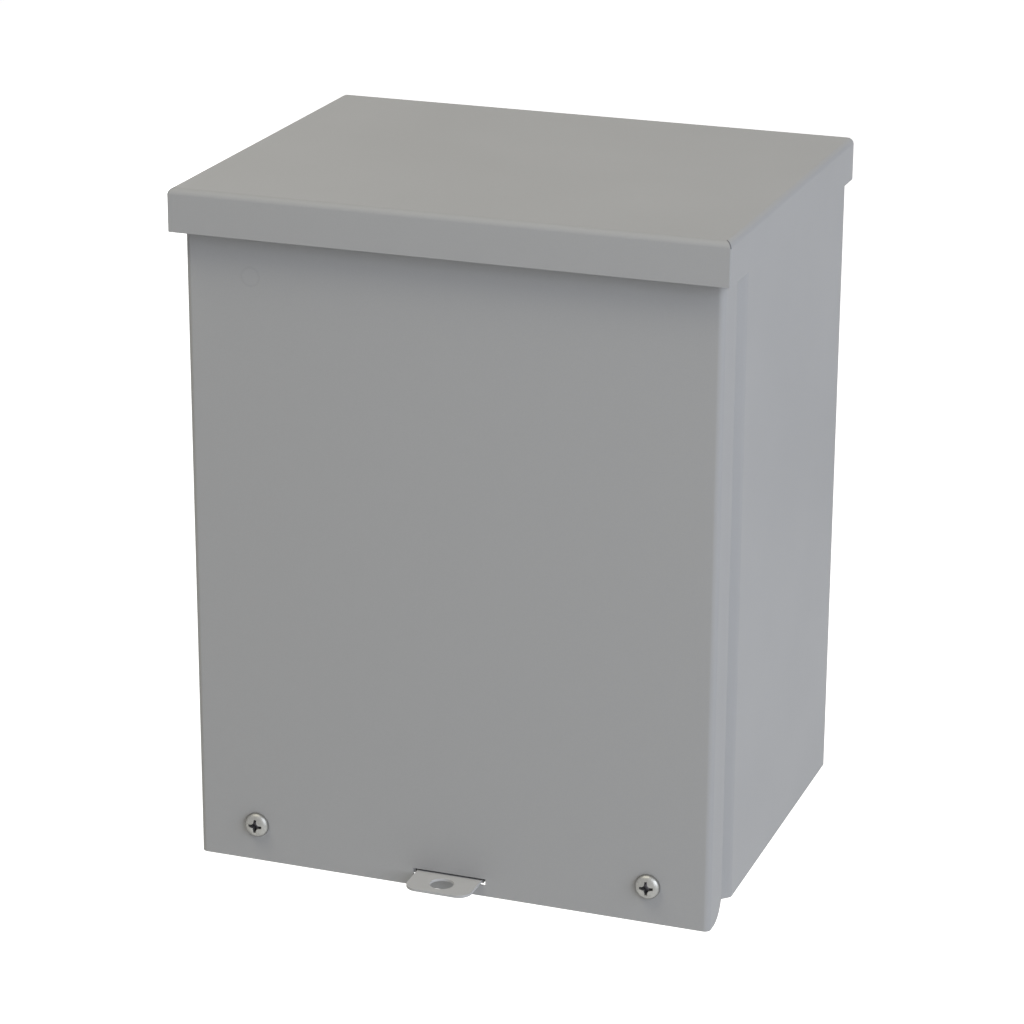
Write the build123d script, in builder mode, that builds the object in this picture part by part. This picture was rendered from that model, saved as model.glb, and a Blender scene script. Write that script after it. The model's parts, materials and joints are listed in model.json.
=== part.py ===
from build123d import *
import os

os.makedirs("parts", exist_ok=True)

# The wall plane is y = 0 and the front faces -Y. Lengths are in millimetres.
# The origin is the centre of the four wall fixing holes, halfway up the body.

# Sheet
sheet = 1.5  # body and drip cap
light_sheet = 1.0  # cover and bottom pan
bend_outer = 2.4  # outside radius of the bends of the body, cap and cover

# Body
body_width = 203.2
body_height = 254.0
body_depth = 152.7  # back sheet to front return flange, over outside faces
return_width = 14.0  # front return flange of each side
return_relief = 0.3  # return flanges stop short above the pan's front bend

# Wall fixings pressed into the back
fixing_side_inset = 50.8  # hole centres in from the body's sides
fixing_end_inset = 25.4  # hole centres in from the body's upper and lower ends
fixing_hole_radius = 3.57
emboss_height = 1.6
emboss_radius = 10.0
emboss_taper = 45.0

# Cover
cover_step = 1.2  # body side stands proud of the cover's side flange
cover_flange = 15.2  # depth of a side flange over the cover's face
cover_play = 1.0  # between side flange and the necked front of the body
cover_seat = 0.3  # between the cover's inner face and the pan's front flange
cover_drop = 3.7  # cover reaches below the body's lower edge
cover_top_gap = 3.0  # cover's top edge below the cap sheet
cover_corner = 9.5  # rounded lower corner of each side flange
cover_tuck = 3.0  # rounded upper corner of each side flange
shoulder_setback = 5.2  # from the side flange's rear edge to the shoulder's foot

# Drip cap
cap_height = 16.0
cap_lip_gap = 4.7  # between the cover's face and the cap's front flange
cap_weld_round = 0.6  # ground weld on the cap's two front corners

# Bottom pan and padlock tab
pan_inset = 0.3  # pan's underside above the body's lower edge
pan_bend = 1.5  # outside radius of the pan's bends
pan_side_rise = 12.7
pan_front_rise = 22.0
pan_corner_gap = 5.0  # flange ends stop short of the body's corners
pan_play = 0.35  # between the pan's free edges and the necked body
tab_width = 25.4
tab_reach = 15.0  # in front of the cover's face
tab_corner = 5.0
tab_rise = 1.1  # joggle that lifts the tab above the pan's floor
tab_relief = 1.3  # between the tab and the ends of the front flanges
relief_length = 3.0  # the cuts beside the tab, back from the flange's face
padlock_radius = 4.5
padlock_setback = 7.6  # from the tab's tip to the hole's centre
slot_side_play = 1.55
slot_play = 0.8  # above and below the tab
drain_radius = 3.2
drain_side_inset = 31.6  # hole centres in from the body's sides
drain_setback = 20.0

# Cover screws
screw_side_inset = 24.6  # in from the body's sides
screw_height = 14.7  # above the cover's lower edge
thread_radius = 2.415
thread_core_radius = 1.95
screw_length = 12.7
screw_hole_play = 0.3
head_radius = 4.73
head_side = 0.8  # straight side below the rounded crown
head_flat = 2.6  # radius of the flat middle that the recess is cut in
head_height = 2.9
recess_span = 5.0  # over the tips of the cross recess
recess_floor = 1.6  # the same, at its bottom
recess_width = 0.9
recess_depth = 2.2
recess_core = 1.25  # radius of the recess's middle cone
retainer_radius = 4.0
retainer_thickness = 0.8
retainer_gap = 0.1
retainer_play = 0.4  # around it, in the pan's front flange

# Nuts, washers and studs
nut_across_flats = 9.525
nut_thickness = 3.2
nut_chamfer = 0.4
nut_base_radius = 6.5  # round base of a weld nut
nut_base_thickness = 1.0
washer_radius = 4.75
washer_thickness = 0.8
washer_teeth = 10
tooth_depth = 0.7
tooth_width = 0.9
fastener_play = 0.15  # between a washer's bore and its stud
stud_length = 12.7
end_chamfer = 0.5  # on the ends of studs and screws
panel_stud_inset = 22.225  # in from the body's sides and ends
collar_radius = 4.75
collar_height = 6.35
ground_side_inset = 46.6  # in from the body's right side
ground_rise = 42.0  # above the body's lower end
bond_side_inset = 26.4  # in from the body's left side
bond_below_cap = 15.3  # stud's centre below the cap's lower edge

# Places worked out from the values above
bend_inner = bend_outer - sheet
body_half = body_width / 2
body_top = body_height / 2
body_foot = -body_height / 2
back_outer = -emboss_height
back_inner = back_outer - sheet
front_outer = back_outer - body_depth
pan_front = front_outer - light_sheet
cover_inner = pan_front - cover_seat
cover_face = cover_inner - light_sheet
cover_rear = cover_face + cover_flange
cover_half = body_half - cover_step
neck_half = cover_half - light_sheet - cover_play
shoulder = body_half - neck_half
shoulder_foot = cover_rear + shoulder_setback
shoulder_head = shoulder_foot + shoulder
cover_foot = body_foot - cover_drop
cover_top = body_top - cover_top_gap
fixing_spread = body_width - 2 * fixing_side_inset
fixing_rise = body_height - 2 * fixing_end_inset
cap_top = body_top + sheet
cap_foot = cap_top - cap_height
cap_half = body_half + bend_outer
cap_face = cover_face - cap_lip_gap - sheet
pan_under = body_foot + pan_inset
pan_half = body_half - sheet
return_foot = pan_under + pan_bend + return_relief
tab_under = pan_under + tab_rise
tab_gap = tab_width + 2 * tab_relief
pan_neck_half = neck_half - sheet - pan_play
tab_tip = cover_face - tab_reach
padlock_y = tab_tip + padlock_setback
drain_x = body_half - drain_side_inset
screw_x = body_half - screw_side_inset
screw_z = cover_foot + screw_height
screw_hole_radius = thread_radius + screw_hole_play
retainer_hole_radius = retainer_radius + retainer_play
panel_stud_x = body_half - panel_stud_inset
panel_stud_z = body_top - panel_stud_inset
ground_x = body_half - ground_side_inset
ground_z = body_foot + ground_rise
bond_x = bond_side_inset - body_half
bond_z = cap_foot - bond_below_cap


def hex_nut(plane, bore_radius):
    # A hexagon nut standing on the plane, with its outer corners broken and a plain bore.
    with BuildPart() as nut:
        with BuildSketch(plane):
            RegularPolygon(nut_across_flats / 2, 6, major_radius=False)
            Circle(bore_radius, mode=Mode.SUBTRACT)
        extrude(amount=nut_thickness)
        with BuildSketch(plane.offset(nut_thickness)):
            Circle(nut_across_flats / 2 + nut_chamfer)
        extrude(amount=-nut_thickness, taper=-30, mode=Mode.INTERSECT)
    return nut.part


def pan_flange(outer, inward, rise):
    # Section of a flange bent up from the pan's floor, with its outer face at the given place.
    with BuildLine() as section:
        FilletPolyline(
            (outer + inward * 2 * pan_bend, pan_under),
            (outer, pan_under),
            (outer, pan_under + rise),
            radius=pan_bend,
        )
        offset(amount=light_sheet, side=Side.LEFT if inward < 0 else Side.RIGHT)
    make_face(section.edges())


# Body shell: back and both sides in one folded sheet, necked at the front by a 45 degree shoulder
with BuildPart() as body_shell:
    with BuildSketch(Plane.XY.offset(body_foot)):
        with BuildLine():
            FilletPolyline(
                (neck_half - return_width, front_outer),
                (neck_half, front_outer),
                (neck_half, shoulder_foot),
                (body_half, shoulder_head),
                (body_half, back_outer),
                (-body_half, back_outer),
                (-body_half, shoulder_head),
                (-neck_half, shoulder_foot),
                (-neck_half, front_outer),
                (return_width - neck_half, front_outer),
                radius=[bend_outer, bend_inner, bend_outer, bend_outer,
                        bend_outer, bend_outer, bend_inner, bend_outer],
            )
            offset(amount=sheet, side=Side.LEFT)
        make_face()
    extrude(amount=body_height)
    # Wall fixings: a tapered boss pushed out of the back, hollow behind, with a hole in its flat top
    for face, mode in ((back_outer, Mode.ADD), (back_inner, Mode.SUBTRACT)):
        with BuildSketch(Plane.XZ.offset(-face)):
            with GridLocations(fixing_spread, fixing_rise, 2, 2):
                Circle(emboss_radius)
        extrude(amount=-emboss_height, taper=emboss_taper, mode=mode)
    with BuildSketch(Plane.XZ):
        with GridLocations(fixing_spread, fixing_rise, 2, 2):
            Circle(fixing_hole_radius)
    extrude(amount=2 * sheet, mode=Mode.SUBTRACT)
    # The return flanges stop short at the bottom, where the pan's front flange laps over them
    with BuildSketch(Plane.XY.offset(body_foot)):
        with Locations((neck_half - bend_outer, front_outer)):
            Rectangle(return_width, sheet, align=(Align.MAX, Align.MIN))
        with Locations((bend_outer - neck_half, front_outer)):
            Rectangle(return_width, sheet, align=(Align.MIN, Align.MIN))
    extrude(amount=return_foot - body_foot, mode=Mode.SUBTRACT)
body_shell.part.label = "body_shell"
export_step(body_shell.part, "parts/body_shell.step")

# Bottom pan: a floor with upturned flanges, and a tab that runs forward between the two front flanges
with BuildPart() as bottom_pan:
    with BuildSketch(Plane.XY.offset(pan_under)):
        with BuildLine():
            Polyline(
                (pan_neck_half - pan_bend, pan_front + pan_bend),
                (pan_neck_half, pan_front + pan_bend + bend_outer),
                (pan_neck_half, shoulder_foot + sheet),
                (pan_half - pan_bend, shoulder_head + sheet),
                (pan_half - pan_bend, back_inner - pan_bend),
                (pan_bend - pan_half, back_inner - pan_bend),
                (pan_bend - pan_half, shoulder_head + sheet),
                (-pan_neck_half, shoulder_foot + sheet),
                (-pan_neck_half, pan_front + pan_bend + bend_outer),
                (pan_bend - pan_neck_half, pan_front + pan_bend),
                close=True,
            )
        make_face()
        with Locations((0, pan_front)):
            Rectangle(tab_gap, relief_length, align=(Align.CENTER, Align.MIN), mode=Mode.SUBTRACT)
    extrude(amount=light_sheet)
    # Side flanges
    with BuildSketch(Plane.XZ.offset(pan_corner_gap - back_inner)):
        pan_flange(pan_half, -1, pan_side_rise)
        pan_flange(-pan_half, 1, pan_side_rise)
    extrude(amount=back_inner - shoulder_head - 2 * pan_corner_gap)
    # Rear flange
    with BuildSketch(Plane.YZ.offset(pan_corner_gap - pan_half)):
        pan_flange(back_inner, -1, pan_side_rise)
    extrude(amount=2 * (pan_half - pan_corner_gap))
    # Front flanges, one each side of the tab
    for start in (tab_gap / 2, pan_bend - pan_neck_half):
        with BuildSketch(Plane.YZ.offset(start)):
            pan_flange(pan_front, 1, pan_front_rise)
        extrude(amount=pan_neck_half - pan_bend - tab_gap / 2)
    # Padlock tab, joggled up to the height of the cover's slot
    with BuildSketch(Plane.YZ.offset(-tab_width / 2)):
        with BuildLine():
            FilletPolyline(
                (tab_tip, tab_under),
                (pan_front, tab_under),
                (pan_front + tab_rise, pan_under),
                (pan_front + relief_length, pan_under),
                radius=light_sheet,
            )
            offset(amount=light_sheet, side=Side.LEFT)
        make_face()
    extrude(amount=tab_width)
    fillet(bottom_pan.edges().filter_by(Axis.Z).group_by(Axis.Y)[0], tab_corner)
    with BuildSketch(Plane.XY.offset(tab_under)):
        with Locations((0, padlock_y)):
            Circle(padlock_radius)
    extrude(amount=light_sheet, mode=Mode.SUBTRACT)
    # Holes: round each screw's retainer, and two drains in the floor
    with BuildSketch(Plane.XZ.offset(-pan_front)):
        with Locations((-screw_x, screw_z), (screw_x, screw_z)):
            Circle(retainer_hole_radius)
    extrude(amount=-light_sheet, mode=Mode.SUBTRACT)
    with BuildSketch(Plane.XY.offset(pan_under)):
        with Locations((-drain_x, pan_front + drain_setback), (drain_x, pan_front + drain_setback)):
            Circle(drain_radius)
    extrude(amount=light_sheet, mode=Mode.SUBTRACT)
bottom_pan.part.label = "bottom_pan"
export_step(bottom_pan.part, "parts/bottom_pan.step")

# Drip cap: a top sheet with front and side flanges that hang over the body and the cover
with BuildPart() as drip_cap:
    with BuildSketch(Plane.XY.offset(cap_foot)):
        with Locations((0, back_outer)):
            Rectangle(2 * cap_half, back_outer - cap_face, align=(Align.CENTER, Align.MAX))
    extrude(amount=cap_height)
    fillet(drip_cap.edges().filter_by(Axis.Z).group_by(Axis.Y)[0], cap_weld_round)
    top_rim = drip_cap.faces().sort_by(Axis.Z)[-1].edges()
    fillet(top_rim.sort_by(Axis.Y)[:-1], bend_outer)
    with BuildSketch(Plane.XY.offset(cap_foot)):
        with Locations((0, back_outer)):
            Rectangle(2 * (cap_half - sheet), back_outer - cap_face - sheet, align=(Align.CENTER, Align.MAX))
    extrude(amount=cap_height - sheet, mode=Mode.SUBTRACT)
    ceiling = drip_cap.faces().filter_by(Plane.XY).sort_by(Axis.Z)[-2].edges()
    fillet(ceiling.sort_by(Axis.Y)[:-1], bend_inner)
drip_cap.part.label = "drip_cap"
export_step(drip_cap.part, "parts/drip_cap.step")

# Cover: a front sheet with two side flanges, screw holes and the slot for the padlock tab
with BuildPart() as cover:
    with BuildSketch(Plane.XY.offset(cover_foot)):
        with BuildLine():
            FilletPolyline(
                (-cover_half, cover_rear),
                (-cover_half, cover_face),
                (cover_half, cover_face),
                (cover_half, cover_rear),
                radius=bend_outer,
            )
            offset(amount=light_sheet, side=Side.LEFT)
        make_face()
    extrude(amount=cover_top - cover_foot)
    rear_corners = cover.edges().filter_by(Axis.X).group_by(Axis.Y)[-1]
    fillet(rear_corners.group_by(Axis.Z)[0], cover_corner)
    rear_corners = cover.edges().filter_by(Axis.X).group_by(Axis.Y)[-1]
    fillet(rear_corners.group_by(Axis.Z)[-1], cover_tuck)
    with BuildSketch(Plane.XZ.offset(-cover_face)):
        with Locations((-screw_x, screw_z), (screw_x, screw_z)):
            Circle(screw_hole_radius)
        with Locations((0, tab_under + light_sheet / 2)):
            Rectangle(tab_width + 2 * slot_side_play, light_sheet + 2 * slot_play)
    extrude(amount=-light_sheet, mode=Mode.SUBTRACT)
cover.part.label = "cover"
export_step(cover.part, "parts/cover.step")

for side, place in ((-1, "left"), (1, "right")):
    # Cover screw: a pan head with a cross recess, on a plain shank at the thread's core size
    seat = (side * screw_x, cover_face, screw_z)
    with BuildPart() as cover_screw:
        with BuildSketch(Plane(seat, x_dir=(1, 0, 0), z_dir=(0, 0, -1))) as profile:
            with BuildLine():
                Polyline(
                    (head_flat, head_height),
                    (0, head_height),
                    (0, -screw_length),
                    (thread_core_radius - end_chamfer, -screw_length),
                    (thread_core_radius, end_chamfer - screw_length),
                    (thread_core_radius, 0),
                    (head_radius, 0),
                    (head_radius, head_side),
                )
                TangentArc((head_flat, head_height), (head_radius, head_side), tangent=(1, 0))
            make_face()
        revolve(axis=Axis(seat, (0, 1, 0)))
        crown = Plane((side * screw_x, cover_face - head_height, screw_z), x_dir=(1, 0, 0), z_dir=(0, 0, -1))
        for wing in (crown, crown.rotated((0, 90, 0))):
            with BuildSketch(wing):
                with BuildLine():
                    Polyline(
                        (-recess_span / 2, 0),
                        (recess_span / 2, 0),
                        (recess_floor / 2, -recess_depth),
                        (-recess_floor / 2, -recess_depth),
                        close=True,
                    )
                make_face()
            extrude(amount=recess_width / 2, both=True, mode=Mode.SUBTRACT)
        with BuildSketch(crown):
            with BuildLine():
                Polyline(
                    (0, 0),
                    (recess_core, 0),
                    (recess_floor / 2, -recess_depth),
                    (0, -recess_depth),
                    close=True,
                )
            make_face()
        revolve(axis=Axis(seat, (0, 1, 0)), mode=Mode.SUBTRACT)
    cover_screw.part.label = f"cover_screw_{place}"
    export_step(cover_screw.part, f"parts/cover_screw_{place}.step")

    # Screw retainer: a push-on washer behind the cover that keeps the screw captive
    with BuildPart() as screw_retainer:
        with BuildSketch(Plane.XZ.offset(-cover_inner - retainer_gap)):
            with Locations((side * screw_x, screw_z)):
                Circle(retainer_radius)
                Circle(thread_core_radius, mode=Mode.SUBTRACT)
        extrude(amount=-retainer_thickness)
    screw_retainer.part.label = f"screw_retainer_{place}"
    export_step(screw_retainer.part, f"parts/screw_retainer_{place}.step")

    # Weld nut: a round base on the back of the pan's front flange, with a hexagon standing on it
    base = Plane((side * screw_x, pan_front + light_sheet, screw_z), x_dir=(1, 0, 0), z_dir=(0, 1, 0))
    with BuildPart() as weld_nut:
        add(hex_nut(base.offset(nut_base_thickness), thread_radius))
        with BuildSketch(base):
            Circle(nut_base_radius)
            Circle(thread_radius, mode=Mode.SUBTRACT)
        extrude(amount=nut_base_thickness)
    weld_nut.part.label = f"weld_nut_{place}"
    export_step(weld_nut.part, f"parts/weld_nut_{place}.step")

# Panel studs: one in each corner of the back, with a collar that a mounting panel stands on
for row, z in (("top", panel_stud_z), ("bottom", -panel_stud_z)):
    for place, x in (("left", -panel_stud_x), ("right", panel_stud_x)):
        with BuildPart() as panel_stud:
            with BuildSketch(Plane.XZ.offset(-back_inner)):
                with Locations((x, z)):
                    Circle(collar_radius)
            extrude(amount=collar_height)
            with BuildSketch(Plane.XZ.offset(collar_height - back_inner)):
                with Locations((x, z)):
                    Circle(thread_radius)
            extrude(amount=stud_length)
            chamfer(panel_stud.edges().sort_by(Axis.Y)[0], end_chamfer)
        panel_stud.part.label = f"panel_stud_{row}_{place}"
        export_step(panel_stud.part, f"parts/panel_stud_{row}_{place}.step")

# Earth fittings: a welded stud with a toothed washer and a nut, one on the back and one on the cover
ground_plane = Plane((ground_x, back_inner, ground_z), x_dir=(1, 0, 0), z_dir=(0, -1, 0))
bond_plane = Plane((bond_x, cover_inner, bond_z), x_dir=(1, 0, 0), z_dir=(0, 1, 0))
for name, plane in (("ground", ground_plane), ("bond", bond_plane)):
    with BuildPart() as stud:
        with BuildSketch(plane):
            Circle(thread_radius)
        extrude(amount=stud_length)
        chamfer(stud.faces().sort_by(Axis(plane.origin, plane.z_dir))[-1].edges(), end_chamfer)
    stud.part.label = f"{name}_stud"
    export_step(stud.part, f"parts/{name}_stud.step")

    with BuildPart() as washer:
        with BuildSketch(plane):
            Circle(washer_radius)
            with PolarLocations(washer_radius, washer_teeth):
                Rectangle(2 * tooth_depth, tooth_width, mode=Mode.SUBTRACT)
            Circle(thread_radius + fastener_play, mode=Mode.SUBTRACT)
        extrude(amount=washer_thickness)
    washer.part.label = f"{name}_washer"
    export_step(washer.part, f"parts/{name}_washer.step")

    nut = hex_nut(plane.offset(washer_thickness), thread_radius)
    nut.label = f"{name}_nut"
    export_step(nut, f"parts/{name}_nut.step")
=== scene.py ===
import json
import math

import bmesh
import bpy
import numpy as np
from mathutils import Matrix, Vector


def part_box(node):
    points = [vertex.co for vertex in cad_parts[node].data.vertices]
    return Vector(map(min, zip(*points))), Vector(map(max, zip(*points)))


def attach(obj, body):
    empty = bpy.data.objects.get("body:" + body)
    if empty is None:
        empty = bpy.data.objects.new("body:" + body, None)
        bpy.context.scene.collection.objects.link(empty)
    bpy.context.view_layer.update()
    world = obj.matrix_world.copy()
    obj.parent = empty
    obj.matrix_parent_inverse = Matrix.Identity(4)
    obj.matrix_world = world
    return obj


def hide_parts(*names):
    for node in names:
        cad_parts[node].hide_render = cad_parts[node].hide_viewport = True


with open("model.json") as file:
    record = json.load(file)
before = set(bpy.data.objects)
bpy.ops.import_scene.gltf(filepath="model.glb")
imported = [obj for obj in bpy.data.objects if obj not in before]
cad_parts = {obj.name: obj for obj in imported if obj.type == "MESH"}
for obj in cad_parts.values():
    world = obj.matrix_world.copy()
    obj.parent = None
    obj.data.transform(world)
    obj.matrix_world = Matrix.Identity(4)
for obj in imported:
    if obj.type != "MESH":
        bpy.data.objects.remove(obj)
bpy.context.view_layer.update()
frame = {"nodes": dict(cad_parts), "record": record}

mm = 0.001
nodes = frame["nodes"]
print("frame loaded:", len(nodes), "nodes")

# Camera: a long lens where the photograph's edges say it stood
camera = {
    "azimuth": 19.841,  # degrees round to the right of straight ahead
    "elevation": 19.458,  # degrees above level
    "roll": -0.248,
    "place": (0.42036, -1.25473, 0.43338),
    "focalPixels": 3502.4,  # for an image 1024 pixels wide
    "imageWidth": 1024,
}


def makeCamera():
    azimuth, elevation, roll = (math.radians(camera[k]) for k in ("azimuth", "elevation", "roll"))
    forward = Vector((-math.sin(azimuth) * math.cos(elevation),
                      math.cos(azimuth) * math.cos(elevation), -math.sin(elevation)))
    right = Vector((math.cos(azimuth), math.sin(azimuth), 0))
    down = forward.cross(right)
    rolledRight = math.cos(roll) * right + math.sin(roll) * down
    rolledDown = math.cos(roll) * down - math.sin(roll) * right
    eye = bpy.data.objects.new("eye", bpy.data.cameras.new("eye"))
    eye.data.sensor_width = 36
    eye.data.lens = camera["focalPixels"] / camera["imageWidth"] * eye.data.sensor_width
    eye.data.clip_start = 0.05
    eye.data.clip_end = 50
    turn = Matrix((rolledRight, -rolledDown, -forward)).transposed()
    eye.matrix_world = Matrix.Translation(camera["place"]) @ turn.to_4x4()
    bpy.context.scene.collection.objects.link(eye)
    bpy.context.scene.camera = eye


makeCamera()
print("camera set")

# Studio: a plain room, a cool softbox at the front right, a warm one overhead and a fill behind
studio = {
    "roomStrength": 0.15,
    "sideBox": {"place": (1.95, -1.27, 0.92), "size": 1.9, "power": 46, "colour": (0.86, 0.915, 1.0)},
    "topBox": {"place": (-0.75, -0.85, 2.1), "size": 1.1, "power": 26, "colour": (1.0, 0.965, 0.81)},
    "backBox": {"place": (-1.9, 1.6, 0.35), "size": 1.5, "power": 14, "colour": (1.0, 1.0, 1.0)},
    "floorDrop": 0.45,  # below the object's middle
    "floorHalf": 30,  # from its middle to each side
    "floorColour": (0.86, 0.86, 0.85),
    "floorRoughness": 0.9,
    "floorSpecular": 0.1,
    "floorGlow": 0.8,  # seen by the camera and by mirrors only, so that the floor reads as white
}


def makeLamp(name):
    values = studio[name]
    lamp = bpy.data.objects.new(name, bpy.data.lights.new(name, "AREA"))
    lamp.data.energy = values["power"]
    lamp.data.size = values["size"]
    lamp.data.color = values["colour"]
    lamp.location = values["place"]
    lamp.rotation_euler = Vector(values["place"]).to_track_quat("Z", "Y").to_euler()
    bpy.context.scene.collection.objects.link(lamp)


def seenDirectly(tree):
    # One for rays from the camera, a mirror or a glass, and nought for the light that falls on things
    path = tree.nodes.new("ShaderNodeLightPath")
    highest = path.outputs["Is Camera Ray"]
    for name in ("Is Glossy Ray", "Is Transmission Ray"):
        larger = tree.nodes.new("ShaderNodeMath")
        larger.operation = "MAXIMUM"
        tree.links.new(highest, larger.inputs[0])
        tree.links.new(path.outputs[name], larger.inputs[1])
        highest = larger.outputs[0]
    return highest


def makeRoom():
    world = bpy.data.worlds.new("room")
    bpy.context.scene.world = world
    world.use_nodes = True
    tree = world.node_tree
    tree.nodes.clear()
    output = tree.nodes.new("ShaderNodeOutputWorld")
    background = tree.nodes.new("ShaderNodeBackground")
    strength = tree.nodes.new("ShaderNodeMix")
    strength.inputs[2].default_value = studio["roomStrength"]
    strength.inputs[3].default_value = 1
    tree.links.new(seenDirectly(tree), strength.inputs[0])
    tree.links.new(strength.outputs[0], background.inputs["Strength"])
    background.inputs["Color"].default_value = (1, 1, 1, 1)
    tree.links.new(background.outputs[0], output.inputs[0])


def makeFloor():
    half, level = studio["floorHalf"], -studio["floorDrop"]
    mesh = bpy.data.meshes.new("floor")
    corners = [(-half, -half, level), (half, -half, level), (half, half, level), (-half, half, level)]
    mesh.from_pydata(corners, [], [(0, 1, 2, 3)])
    floor = bpy.data.objects.new("floor", mesh)
    bpy.context.scene.collection.objects.link(floor)
    material = bpy.data.materials.new("paleFloor")
    material.use_nodes = True
    tree = material.node_tree
    shader = tree.nodes["Principled BSDF"]
    shader.inputs["Base Color"].default_value = (*studio["floorColour"], 1)
    shader.inputs["Roughness"].default_value = studio["floorRoughness"]
    shader.inputs["Specular IOR Level"].default_value = studio["floorSpecular"]
    shader.inputs["Emission Color"].default_value = (1, 1, 1, 1)
    glow = tree.nodes.new("ShaderNodeMath")
    glow.operation = "MULTIPLY"
    glow.inputs[1].default_value = studio["floorGlow"]
    tree.links.new(seenDirectly(tree), glow.inputs[0])
    tree.links.new(glow.outputs[0], shader.inputs["Emission Strength"])
    mesh.materials.append(material)


makeRoom()
makeLamp("sideBox")
makeLamp("topBox")
makeLamp("backBox")
makeFloor()
print("studio lit")


# Shared effects, each a node group built once
def newGroup(name, inputs, outputs):
    group = bpy.data.node_groups.new(name, "ShaderNodeTree")
    for label, kind, value in inputs:
        socket = group.interface.new_socket(label, in_out="INPUT", socket_type=kind)
        socket.default_value = value
    for label, kind in outputs:
        group.interface.new_socket(label, in_out="OUTPUT", socket_type=kind)
    return group, group.nodes.new("NodeGroupInput"), group.nodes.new("NodeGroupOutput")


def addMath(tree, operation, first, second=None):
    node = tree.nodes.new("ShaderNodeMath")
    node.operation = operation
    for slot, value in enumerate((first, second)):
        if value is None:
            continue
        if isinstance(value, (int, float)):
            node.inputs[slot].default_value = value
        else:
            tree.links.new(value, node.inputs[slot])
    return node.outputs[0]


def addNoise(tree, place, scale, detail=2.0, roughness=0.5):
    node = tree.nodes.new("ShaderNodeTexNoise")
    node.inputs["Detail"].default_value = detail
    node.inputs["Roughness"].default_value = roughness
    tree.links.new(place, node.inputs["Vector"])
    if isinstance(scale, (int, float)):
        node.inputs["Scale"].default_value = scale
    else:
        tree.links.new(scale, node.inputs["Scale"])
    return node.outputs["Fac"]


noiseScales = {
    "fineTimes": 3.1,  # how many fine grains fit across a large one
    "coatPatches": 14.0,  # slow uneven patches in a metre of coat
    "platedClouds": 420.0,  # clouds in a metre of plating
}


def buildPowderCoat():
    # Orange peel: rounded grains about as wide as Grain Size, finer ones between them, slow patches over all
    tree, given, out = newGroup("powderCoat", [
        ("Place", "NodeSocketVector", (0, 0, 0)),
        ("Grain Size", "NodeSocketFloat", 0.0008),
        ("Fine Share", "NodeSocketFloat", 0.4),
    ], [("Height", "NodeSocketFloat"), ("Speckle", "NodeSocketFloat"), ("Unevenness", "NodeSocketFloat")])
    grainScale = addMath(tree, "DIVIDE", 1.0, given.outputs["Grain Size"])
    fineScale = addMath(tree, "MULTIPLY", grainScale, noiseScales["fineTimes"])
    grain = addNoise(tree, given.outputs["Place"], grainScale, 1.0)
    fine = addNoise(tree, given.outputs["Place"], fineScale, 1.0)
    blended = tree.nodes.new("ShaderNodeMix")
    tree.links.new(given.outputs["Fine Share"], blended.inputs[0])
    tree.links.new(grain, blended.inputs[2])
    tree.links.new(fine, blended.inputs[3])
    tree.links.new(blended.outputs[0], out.inputs["Height"])
    tree.links.new(fine, out.inputs["Speckle"])
    patches = addNoise(tree, given.outputs["Place"], noiseScales["coatPatches"], 3.0)
    tree.links.new(patches, out.inputs["Unevenness"])
    return tree


def buildWeldRing():
    # A faint circle round Centre where a stud is welded behind: e to the minus square of the steps off Radius
    tree, given, out = newGroup("weldRing", [
        ("Place", "NodeSocketVector", (0, 0, 0)),
        ("Centre", "NodeSocketVector", (0, 0, 0)),
        ("Radius", "NodeSocketFloat", 0.0034),
        ("Line Width", "NodeSocketFloat", 0.0004),
    ], [("Mask", "NodeSocketFloat")])
    away = tree.nodes.new("ShaderNodeVectorMath")
    away.operation = "SUBTRACT"
    tree.links.new(given.outputs["Place"], away.inputs[0])
    tree.links.new(given.outputs["Centre"], away.inputs[1])
    across = tree.nodes.new("ShaderNodeVectorMath")
    across.operation = "MULTIPLY"
    across.inputs[1].default_value = (1, 0, 1)
    tree.links.new(away.outputs[0], across.inputs[0])
    distance = tree.nodes.new("ShaderNodeVectorMath")
    distance.operation = "LENGTH"
    tree.links.new(across.outputs[0], distance.inputs[0])
    off = addMath(tree, "SUBTRACT", distance.outputs["Value"], given.outputs["Radius"])
    steps = addMath(tree, "DIVIDE", off, given.outputs["Line Width"])
    squared = addMath(tree, "MULTIPLY", steps, steps)
    falling = addMath(tree, "MULTIPLY", squared, -1.0)
    tree.links.new(addMath(tree, "EXPONENT", falling), out.inputs["Mask"])
    return tree


def buildPlatedGrain():
    # Fine turning marks and soft clouding, as on small plated steel parts
    tree, given, out = newGroup("platedGrain", [
        ("Place", "NodeSocketVector", (0, 0, 0)),
        ("Mark Size", "NodeSocketFloat", 0.0004),
    ], [("Height", "NodeSocketFloat"), ("Clouding", "NodeSocketFloat")])
    scale = addMath(tree, "DIVIDE", 1.0, given.outputs["Mark Size"])
    tree.links.new(addNoise(tree, given.outputs["Place"], scale, 3.0, 0.6), out.inputs["Height"])
    clouds = addNoise(tree, given.outputs["Place"], noiseScales["platedClouds"], 3.0)
    tree.links.new(clouds, out.inputs["Clouding"])
    return tree


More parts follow.
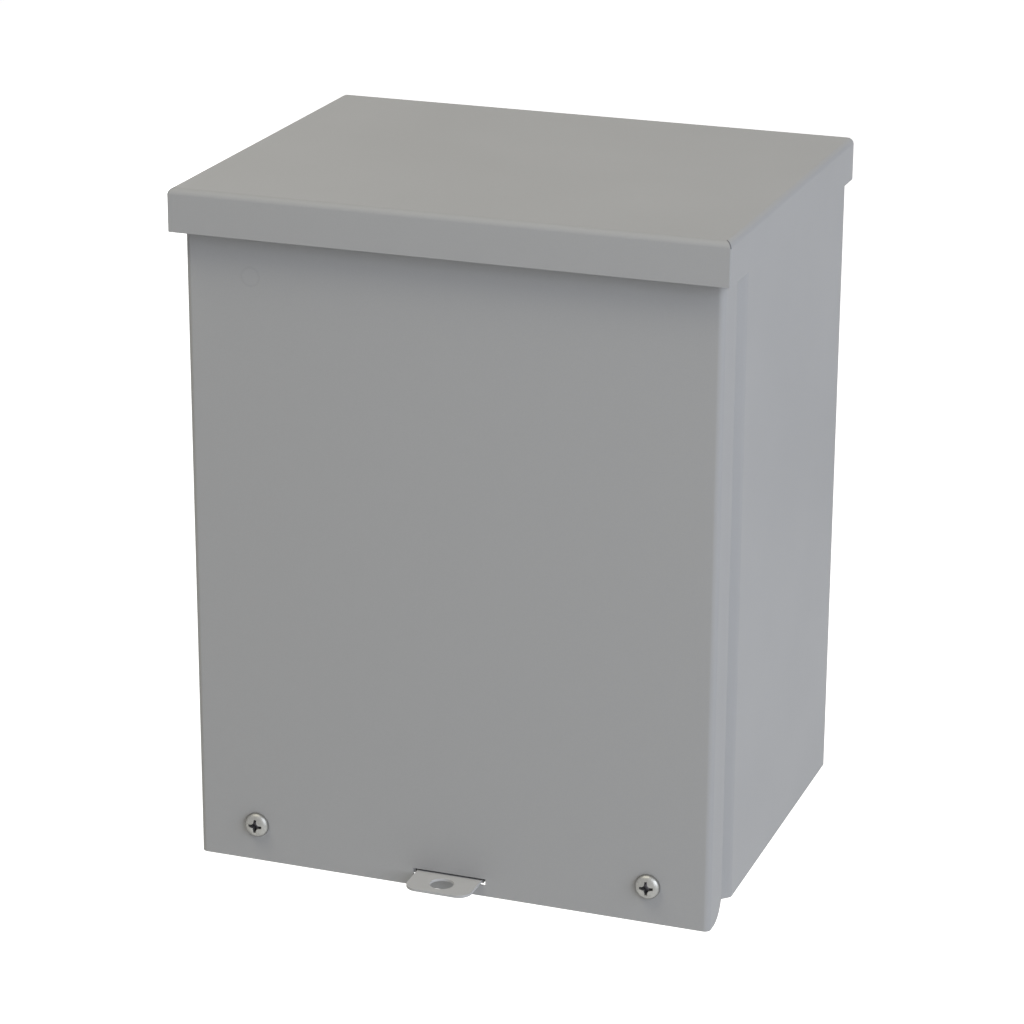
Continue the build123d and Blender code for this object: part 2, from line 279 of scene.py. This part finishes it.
def buildMitreSlit():
    # Painted shade: a thin dark line for the shaded slit where two folds meet, as far in from the side as
    # from the front, by the top corner only
    tree, given, out = newGroup("mitreSlit", [
        ("Place", "NodeSocketVector", (0, 0, 0)),
        ("Corner", "NodeSocketVector", (0, 0, 0)),
        ("Reach", "NodeSocketFloat", 0.0024),
        ("Line Width", "NodeSocketFloat", 0.0003),
    ], [("Mask", "NodeSocketFloat")])
    here = tree.nodes.new("ShaderNodeSeparateXYZ")
    corner = tree.nodes.new("ShaderNodeSeparateXYZ")
    tree.links.new(given.outputs["Place"], here.inputs[0])
    tree.links.new(given.outputs["Corner"], corner.inputs[0])
    fromMiddle = addMath(tree, "ABSOLUTE", here.outputs["X"])
    fromSide = addMath(tree, "SUBTRACT", corner.outputs["X"], fromMiddle)
    fromFront = addMath(tree, "SUBTRACT", here.outputs["Y"], corner.outputs["Y"])
    fromTop = addMath(tree, "SUBTRACT", corner.outputs["Z"], here.outputs["Z"])
    apart = addMath(tree, "SUBTRACT", fromSide, fromFront)
    off = addMath(tree, "DIVIDE", apart, given.outputs["Line Width"])
    squared = addMath(tree, "MULTIPLY", off, off)
    line = addMath(tree, "EXPONENT", addMath(tree, "MULTIPLY", squared, -1.0))
    nearSide = addMath(tree, "LESS_THAN", fromSide, given.outputs["Reach"])
    nearTop = addMath(tree, "LESS_THAN", fromTop, given.outputs["Reach"])
    nearCorner = addMath(tree, "MULTIPLY", nearSide, nearTop)
    tree.links.new(addMath(tree, "MULTIPLY", line, nearCorner), out.inputs["Mask"])
    return tree


powderCoat = buildPowderCoat()
mitreSlit = buildMitreSlit()
weldRing = buildWeldRing()
platedGrain = buildPlatedGrain()

# Finishes
paint = {
    "colour": (0.371, 0.367, 0.371),
    "paleSpeckle": (0.404, 0.400, 0.404),
    "paintedPanLight": 1.15,  # painted light, a guess: the pan's sheet is painted paler to stand in for the extra light that makes the tab look a little paler than the other sheets
    "roughness": (0.42, 0.50),
    "specular": 0.07,
    # painted shade of the slit where the cap's folds meet
    "slitPaintedShade": (0.09, 0.09, 0.095),
    "ringShade": (0.2, 0.2, 0.2),
    "ringFaint": 0.10,  # share of the ring's shade that shows
    "ringRaise": 1.5,  # in grain depths
    "grainSize": 0.9 * mm,
    "grainDepth": 0.012 * mm,
}
plating = {
    "nickel": {"colour": (0.34, 0.337, 0.325), "shade": (0.26, 0.257, 0.245), "roughness": (0.38, 0.48)},
    "zinc": {"colour": (0.62, 0.64, 0.67), "shade": (0.48, 0.50, 0.54), "roughness": (0.28, 0.45)},
    "metallic": 0.8,  # the dull film on old plating keeps it from a full mirror
    "edgeTint": 0.45,
    # painted shade for the screws' cross recesses
    "recessPaintedShade": (0.15, 0.145, 0.16),
    "markSize": 0.35 * mm,
    "markDepth": 0.004 * mm,
}
nylon = {
    "colour": (0.66, 0.63, 0.54),
    "shade": (0.58, 0.55, 0.46),
    "roughness": 0.48,
    "grainSize": 0.5 * mm,
}
noiseReach = (0.3, 0.7)  # soft noise hardly ever leaves this range


def newMaterial(name):
    material = bpy.data.materials.new(name)
    material.use_nodes = True
    tree = material.node_tree
    place = tree.nodes.new("ShaderNodeTexCoord").outputs["Object"]
    return material, tree, tree.nodes["Principled BSDF"], place


def placeGroup(tree, group, place, **values):
    node = tree.nodes.new("ShaderNodeGroup")
    node.node_tree = group
    tree.links.new(place, node.inputs["Place"])
    for label, value in values.items():
        node.inputs[label.replace("_", " ")].default_value = value
    return node


def mixColours(tree, factor, first, second):
    node = tree.nodes.new("ShaderNodeMix")
    node.data_type = "RGBA"
    tree.links.new(factor, node.inputs[0])
    for slot, value in ((6, first), (7, second)):
        if isinstance(value, tuple):
            node.inputs[slot].default_value = (*value, 1)
        else:
            tree.links.new(value, node.inputs[slot])
    return node.outputs[2]


def mapRange(tree, value, low, high):
    node = tree.nodes.new("ShaderNodeMapRange")
    node.inputs["From Min"].default_value = noiseReach[0]
    node.inputs["From Max"].default_value = noiseReach[1]
    node.inputs["To Min"].default_value = low
    node.inputs["To Max"].default_value = high
    tree.links.new(value, node.inputs["Value"])
    return node.outputs["Result"]


def addBump(tree, shader, height, distance):
    node = tree.nodes.new("ShaderNodeBump")
    node.inputs["Strength"].default_value = 1
    node.inputs["Distance"].default_value = distance
    tree.links.new(height, node.inputs["Height"])
    tree.links.new(node.outputs["Normal"], shader.inputs["Normal"])


def makePaint(name, ringCentre=None, slitCorner=None, tone=1):
    material, tree, shader, place = newMaterial(name)
    coat = placeGroup(tree, powderCoat, place, Grain_Size=paint["grainSize"])
    base, speckle = (tuple(tone * c for c in paint[key]) for key in ("colour", "paleSpeckle"))
    colour = mixColours(tree, coat.outputs["Speckle"], base, speckle)
    height = coat.outputs["Height"]
    if ringCentre:
        ring = placeGroup(tree, weldRing, place, Centre=ringCentre)
        faint = addMath(tree, "MULTIPLY", ring.outputs["Mask"], paint["ringFaint"])
        colour = mixColours(tree, faint, colour, paint["ringShade"])
        raised = addMath(tree, "MULTIPLY", ring.outputs["Mask"], paint["ringRaise"])
        height = addMath(tree, "ADD", height, raised)
    if slitCorner:
        # painted shade: a dark line for the shaded slit at the cap's top corner
        slit = placeGroup(tree, mitreSlit, place, Corner=slitCorner)
        colour = mixColours(tree, slit.outputs["Mask"], colour, paint["slitPaintedShade"])
    tree.links.new(colour, shader.inputs["Base Color"])
    roughness = mapRange(tree, coat.outputs["Unevenness"], *paint["roughness"])
    tree.links.new(roughness, shader.inputs["Roughness"])
    shader.inputs["Specular IOR Level"].default_value = paint["specular"]
    addBump(tree, shader, height, paint["grainDepth"])
    return material


def makePlating(name, values):
    # Painted shade: where the mesh says how deep a recess is, the plating there turns to a dark shade colour
    material, tree, shader, place = newMaterial(name)
    grain = placeGroup(tree, platedGrain, place, Mark_Size=plating["markSize"])
    clouding = mapRange(tree, grain.outputs["Clouding"], 0, 1)
    clean = mixColours(tree, clouding, values["colour"], values["shade"])
    depth = tree.nodes.new("ShaderNodeAttribute")
    depth.attribute_name = "recessDepth"
    recessShaded = mixColours(tree, depth.outputs["Fac"], clean, plating["recessPaintedShade"])
    tree.links.new(recessShaded, shader.inputs["Base Color"])
    shader.inputs["Specular Tint"].default_value = (*[plating["edgeTint"]] * 3, 1)
    roughness = mapRange(tree, grain.outputs["Clouding"], *values["roughness"])
    tree.links.new(roughness, shader.inputs["Roughness"])
    shader.inputs["Metallic"].default_value = plating["metallic"]
    addBump(tree, shader, grain.outputs["Height"], plating["markDepth"])
    return material


def makeNylon():
    material, tree, shader, place = newMaterial("nylon")
    coat = placeGroup(tree, powderCoat, place, Grain_Size=nylon["grainSize"])
    cloudy = mixColours(tree, coat.outputs["Unevenness"], nylon["colour"], nylon["shade"])
    tree.links.new(cloudy, shader.inputs["Base Color"])
    shader.inputs["Roughness"].default_value = nylon["roughness"]
    addBump(tree, shader, coat.outputs["Height"], plating["markDepth"])
    return material


bondStudLow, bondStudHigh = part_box("bond_stud")
capLow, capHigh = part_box("drip_cap")
greyPaint = makePaint("greyPaint")
# The pan's paler paint is painted light: it stands in for the extra light that falls on the tab
paintedLightPan = makePaint("paintedLightPan", tone=paint["paintedPanLight"])
coverPaint = makePaint("coverPaint", ringCentre=tuple((bondStudLow + bondStudHigh) / 2))
capPaint = makePaint("capPaint", slitCorner=(capHigh.x, capLow.y, capHigh.z))
nickelPlate = makePlating("nickelPlate", plating["nickel"])
zincPlate = makePlating("zincPlate", plating["zinc"])
naturalNylon = makeNylon()
print("finishes made")

bodyOf = {node: body for body, names in frame["record"]["behaviour"]["bodies"].items() for node in names}


def takePlace(piece, node, material):
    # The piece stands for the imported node, moves with its body and takes the finish of its slot
    piece.data.materials.clear()
    piece.data.materials.append(material)
    bpy.context.scene.collection.objects.link(piece)
    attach(piece, bodyOf[node])
    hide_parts(node)


# Folded sheets: each packed sheet with the paint's thickness rounding its cut edges
sheets = {
    "body_shell": ("bodyShell", greyPaint),
    "bottom_pan": ("bottomPan", paintedLightPan),
    "drip_cap": ("dripCap", capPaint),
    "cover": ("frontCover", coverPaint),
}
cutEdge = {
    "round": 0.15 * mm,
    "segments": 3,
    "sharpAngle": 50,  # degrees between faces, past which an edge is a cut one
    "flatAngle": 0.4,  # degrees under which neighbouring faces are one flat face
    "mergeWithin": 0.001 * mm,
}


def makeSheet(node, name, material):
    form = bmesh.new()
    form.from_mesh(nodes[node].data)
    bmesh.ops.remove_doubles(form, verts=form.verts, dist=cutEdge["mergeWithin"])
    flat = math.radians(cutEdge["flatAngle"])
    bmesh.ops.dissolve_limit(form, angle_limit=flat, verts=form.verts, edges=form.edges)
    mesh = bpy.data.meshes.new(name)
    form.to_mesh(mesh)
    form.free()
    mesh.polygons.foreach_set("use_smooth", np.ones(len(mesh.polygons), bool))
    piece = bpy.data.objects.new(name, mesh)
    edge = piece.modifiers.new("cutEdges", "BEVEL")
    edge.limit_method = "ANGLE"
    edge.angle_limit = math.radians(cutEdge["sharpAngle"])
    edge.width = cutEdge["round"]
    edge.segments = cutEdge["segments"]
    edge.use_clamp_overlap = True
    even = piece.modifiers.new("evenFaces", "WEIGHTED_NORMAL")
    even.keep_sharp = True
    takePlace(piece, node, material)


for node, (name, finish) in sheets.items():
    makeSheet(node, name, finish)
print("sheets finished")

# Threaded pieces: one surface from end to end, with its radius worked out at every height and angle
thread = {
    "crest": 2.36 * mm,
    "root": 1.92 * mm,
    "pitch": 1.058 * mm,
    "rowsPerTurn": 12,
    "columns": 48,
    "taper": 0.9 * mm,  # run-out at the free end
    "startShare": 0.5,  # the run-in's length in tapers
    "waveGain": 1.35,  # over one, so that the crests come out flat
    "waveDrop": 0.15,  # over nought, so that the roots come out flat
    "tipLength": 0.5 * mm,
    "tipDrop": 0.45 * mm,
}
turnedMesh = {
    "mergeWithin": 0.002 * mm,
    "sharpAngle": 40,  # degrees
}


def threadRadius(along, turn, length):
    # Root radius plus a triangle wave of the height less the turn, in pitches, fading out at both ends
    wave = np.abs(((along / thread["pitch"] - turn) % 1.0) * 2 - 1)
    crest = np.clip(thread["waveGain"] * wave - thread["waveDrop"], 0, 1)
    runOut = np.clip((length - along) / thread["taper"], 0, 1)
    runIn = np.clip(along / (thread["startShare"] * thread["taper"]), 0, 1)
    return thread["root"] + (thread["crest"] - thread["root"]) * crest * (runOut * runIn)


def gridFaces(rows, columns):
    # Quads between neighbouring rows of a surface that closes on itself round its axis
    row, column = np.meshgrid(np.arange(rows - 1), np.arange(columns), indexing="ij")
    following = (column + 1) % columns
    corners = (row * columns + column, row * columns + following,
               (row + 1) * columns + following, (row + 1) * columns + column)
    return np.stack([c.ravel() for c in corners], axis=1)


def turnedPiece(name, radii, heights, base, outward, columns, depths=None):
    # Each point is its radius times the cosine and sine of its turn, at its height along plus or minus Y
    turn = 2 * np.pi * np.arange(columns) / columns
    points = np.stack([
        base[0] + radii * np.cos(turn),
        base[1] + outward * heights,
        base[2] + radii * np.sin(turn),
    ], axis=2).reshape(-1, 3)
    faces = gridFaces(radii.shape[0], columns)
    if outward > 0:
        faces = faces[:, ::-1]
    mesh = bpy.data.meshes.new(name)
    mesh.from_pydata(points.tolist(), [], faces.tolist())
    mesh.polygons.foreach_set("use_smooth", np.ones(len(mesh.polygons), bool))
    if depths is not None:
        attribute = mesh.attributes.new("recessDepth", "FLOAT", "POINT")
        attribute.data.foreach_set("value", depths.ravel())
    form = bmesh.new()
    form.from_mesh(mesh)
    bmesh.ops.remove_doubles(form, verts=form.verts, dist=turnedMesh["mergeWithin"])
    bmesh.ops.recalc_face_normals(form, faces=form.faces)
    form.to_mesh(mesh)
    form.free()
    mesh.set_sharp_from_angle(angle=math.radians(turnedMesh["sharpAngle"]))
    return bpy.data.objects.new(name, mesh)


def threadedRows(length):
    # Rows of radius and height for a thread that starts at nought and ends in a flat tip
    columns = thread["columns"]
    count = int(length / thread["pitch"] * thread["rowsPerTurn"])
    along = np.linspace(0, length, count)[:, None]
    turn = np.arange(columns)[None, :] / columns
    radii = threadRadius(along, turn, length)
    chamfer = np.clip((length - along) / thread["tipLength"], 0, 1)
    radii = radii - thread["tipDrop"] * (1 - chamfer)
    heights = np.repeat(along, columns, axis=1)
    tip = np.zeros((1, columns))
    return np.vstack([radii, tip]), np.vstack([heights, np.full((1, columns), length)])


def makeStud(node, name, collar=None):
    low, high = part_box(node)
    centre = (low + high) / 2
    outward = 1 if node == "bond_stud" else -1  # the cover's stud points back into the box
    base = (centre.x, low.y if outward > 0 else high.y, centre.z)
    length = high.y - low.y
    columns = thread["columns"]
    shankStart = collar["height"] if collar else 0
    radii, heights = threadedRows(length - shankStart)
    heights = heights + shankStart
    if collar:
        profile = np.array(collar["profile"])
        radii = np.vstack([np.repeat(profile[:, :1], columns, axis=1), radii])
        heights = np.vstack([np.repeat(profile[:, 1:], columns, axis=1), heights])
    else:
        radii = np.vstack([np.zeros((1, columns)), radii])
        heights = np.vstack([np.zeros((1, columns)), heights])
    takePlace(turnedPiece(name, radii, heights, base, outward, columns), node, zincPlate)


studCollar = {
    "radius": 4.75 * mm,
    "height": 6.35 * mm,
    "round": 0.4 * mm,
    "roundShare": 0.3,  # how far in from both faces the rounded corner's middle lies, in rounds
}
softened = studCollar["roundShare"] * studCollar["round"]
studCollar["profile"] = [
    (0, 0),
    (studCollar["radius"], 0),
    (studCollar["radius"], studCollar["height"] - studCollar["round"]),
    (studCollar["radius"] - softened, studCollar["height"] - softened),
    (studCollar["radius"] - studCollar["round"], studCollar["height"]),
]
for row in ("top", "bottom"):
    for side in ("left", "right"):
        makeStud(f"panel_stud_{row}_{side}", f"panelStud{row.title()}{side.title()}", studCollar)
makeStud("ground_stud", "groundStud")
makeStud("bond_stud", "bondStud")
print("studs threaded")

# Cover screws: a domed head with a cross recess, over a threaded shank
screw = {
    "headRadius": 4.73 * mm,
    "headHeight": 2.9 * mm,
    "sideHeight": 0.55 * mm,
    "footHeight": 0.15 * mm,  # the eased edge under the head
    "footInset": 0.12 * mm,
    "seatGap": 0.03 * mm,  # between the head and the cover
    "shankSink": 0.15 * mm,  # how far the shank runs up into the head
    "crownPower": 2.15,  # two is an ellipse, and more is flatter on top and rounder at the side
    "recessSpan": 5.3 * mm,
    "recessDepth": 2.3 * mm,
    "wingHalf": 0.48 * mm,
    "wingFlare": 0.75 * mm,
    "coreRadius": 1.35 * mm,
    "coreSlope": 0.35,  # sideways run of the cone's wall for its depth
    "wallSlope": 0.10,  # and of a wing's side wall
    "tipSlope": 0.32,  # and of a wing's end wall
    "fullShadeDepth": 2.1 * mm,  # where the painted recess shade covers the plating fully
    "turn": {"left": 3, "right": -2},  # degrees that each recess stands off upright
    "columns": 240,
    "crownRows": 90,
    "rowPower": 0.8,  # under one, so that the rows lie closer towards the side
}


def recessDepth(across, up):
    # Deepest of two crossed wings and a cone. A wing's half-width swells towards the middle.
    reach = screw["recessSpan"] / 2
    deepest = np.zeros_like(across)
    for along, beside in ((across, up), (up, across)):
        swell = np.clip(1 - np.abs(along) / reach, 0, 1) ** 2 * screw["wingFlare"]
        wall = (screw["wingHalf"] + swell - np.abs(beside)) / screw["wallSlope"]
        tip = (reach - np.abs(along)) / screw["tipSlope"]
        deepest = np.maximum(deepest, np.clip(np.minimum(wall, tip), 0, screw["recessDepth"]))
    cone = (screw["coreRadius"] - np.hypot(across, up)) / screw["coreSlope"]
    return np.maximum(deepest, np.clip(cone, 0, screw["recessDepth"]))


def makeCoverScrew(side):
    node = f"cover_screw_{side}"
    low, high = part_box(node)
    columns = screw["columns"]
    centre = (low + high) / 2
    seat = low.y + screw["headHeight"]
    turn = 2 * np.pi * np.arange(columns)[None, :] / columns
    # Crown: a superellipse from the middle out to the side, less the recess's depth
    share = np.linspace(0, 1, screw["crownRows"])[:, None] ** screw["rowPower"]
    radii = np.repeat(share * screw["headRadius"], columns, axis=1)
    dome = (1 - share ** screw["crownPower"]) ** (1 / screw["crownPower"])
    crown = screw["sideHeight"] + (screw["headHeight"] - screw["sideHeight"]) * dome
    stand = math.radians(screw["turn"][side])
    deep = recessDepth(radii * np.cos(turn + stand), radii * np.sin(turn + stand))
    heights = crown - deep
    foot = np.array([
        (screw["headRadius"], screw["footHeight"]),
        (screw["headRadius"] - screw["footInset"], screw["seatGap"]),
        (0, screw["seatGap"]),
    ])
    radii = np.vstack([radii, np.repeat(foot[:, :1], columns, axis=1)])
    heights = np.vstack([heights, np.repeat(foot[:, 1:], columns, axis=1)])
    # the recess's painted shade, from nought at the surface to one at the full shade depth
    depths = np.vstack([np.clip(deep / screw["fullShadeDepth"], 0, 1), np.zeros((len(foot), columns))])
    headBase = (centre.x, seat, centre.z)
    head = turnedPiece(f"coverScrewHead{side.title()}", radii, heights, headBase, -1, columns, depths)
    shankBase = (centre.x, seat - screw["shankSink"], centre.z)
    shankRadii, shankHeights = threadedRows(high.y - shankBase[1])
    pole = np.zeros((1, thread["columns"]))
    shankRadii = np.vstack([pole, shankRadii])
    shankHeights = np.vstack([pole, shankHeights])
    shank = turnedPiece(f"coverScrewShank{side.title()}", shankRadii, shankHeights, shankBase, 1,
                        thread["columns"])
    takePlace(head, node, nickelPlate)
    takePlace(shank, node, nickelPlate)


for side in ("left", "right"):
    makeCoverScrew(side)
print("cover screws made")

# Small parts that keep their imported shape
for node in nodes:
    if node.startswith("screw_retainer"):
        finish = naturalNylon
    elif node.endswith(("_nut", "_washer")) or node.startswith("weld_nut"):
        finish = zincPlate
    else:
        continue
    nodes[node].data.materials.clear()
    nodes[node].data.materials.append(finish)
print("small parts finished")

bpy.context.scene.view_settings.view_transform = "Standard"
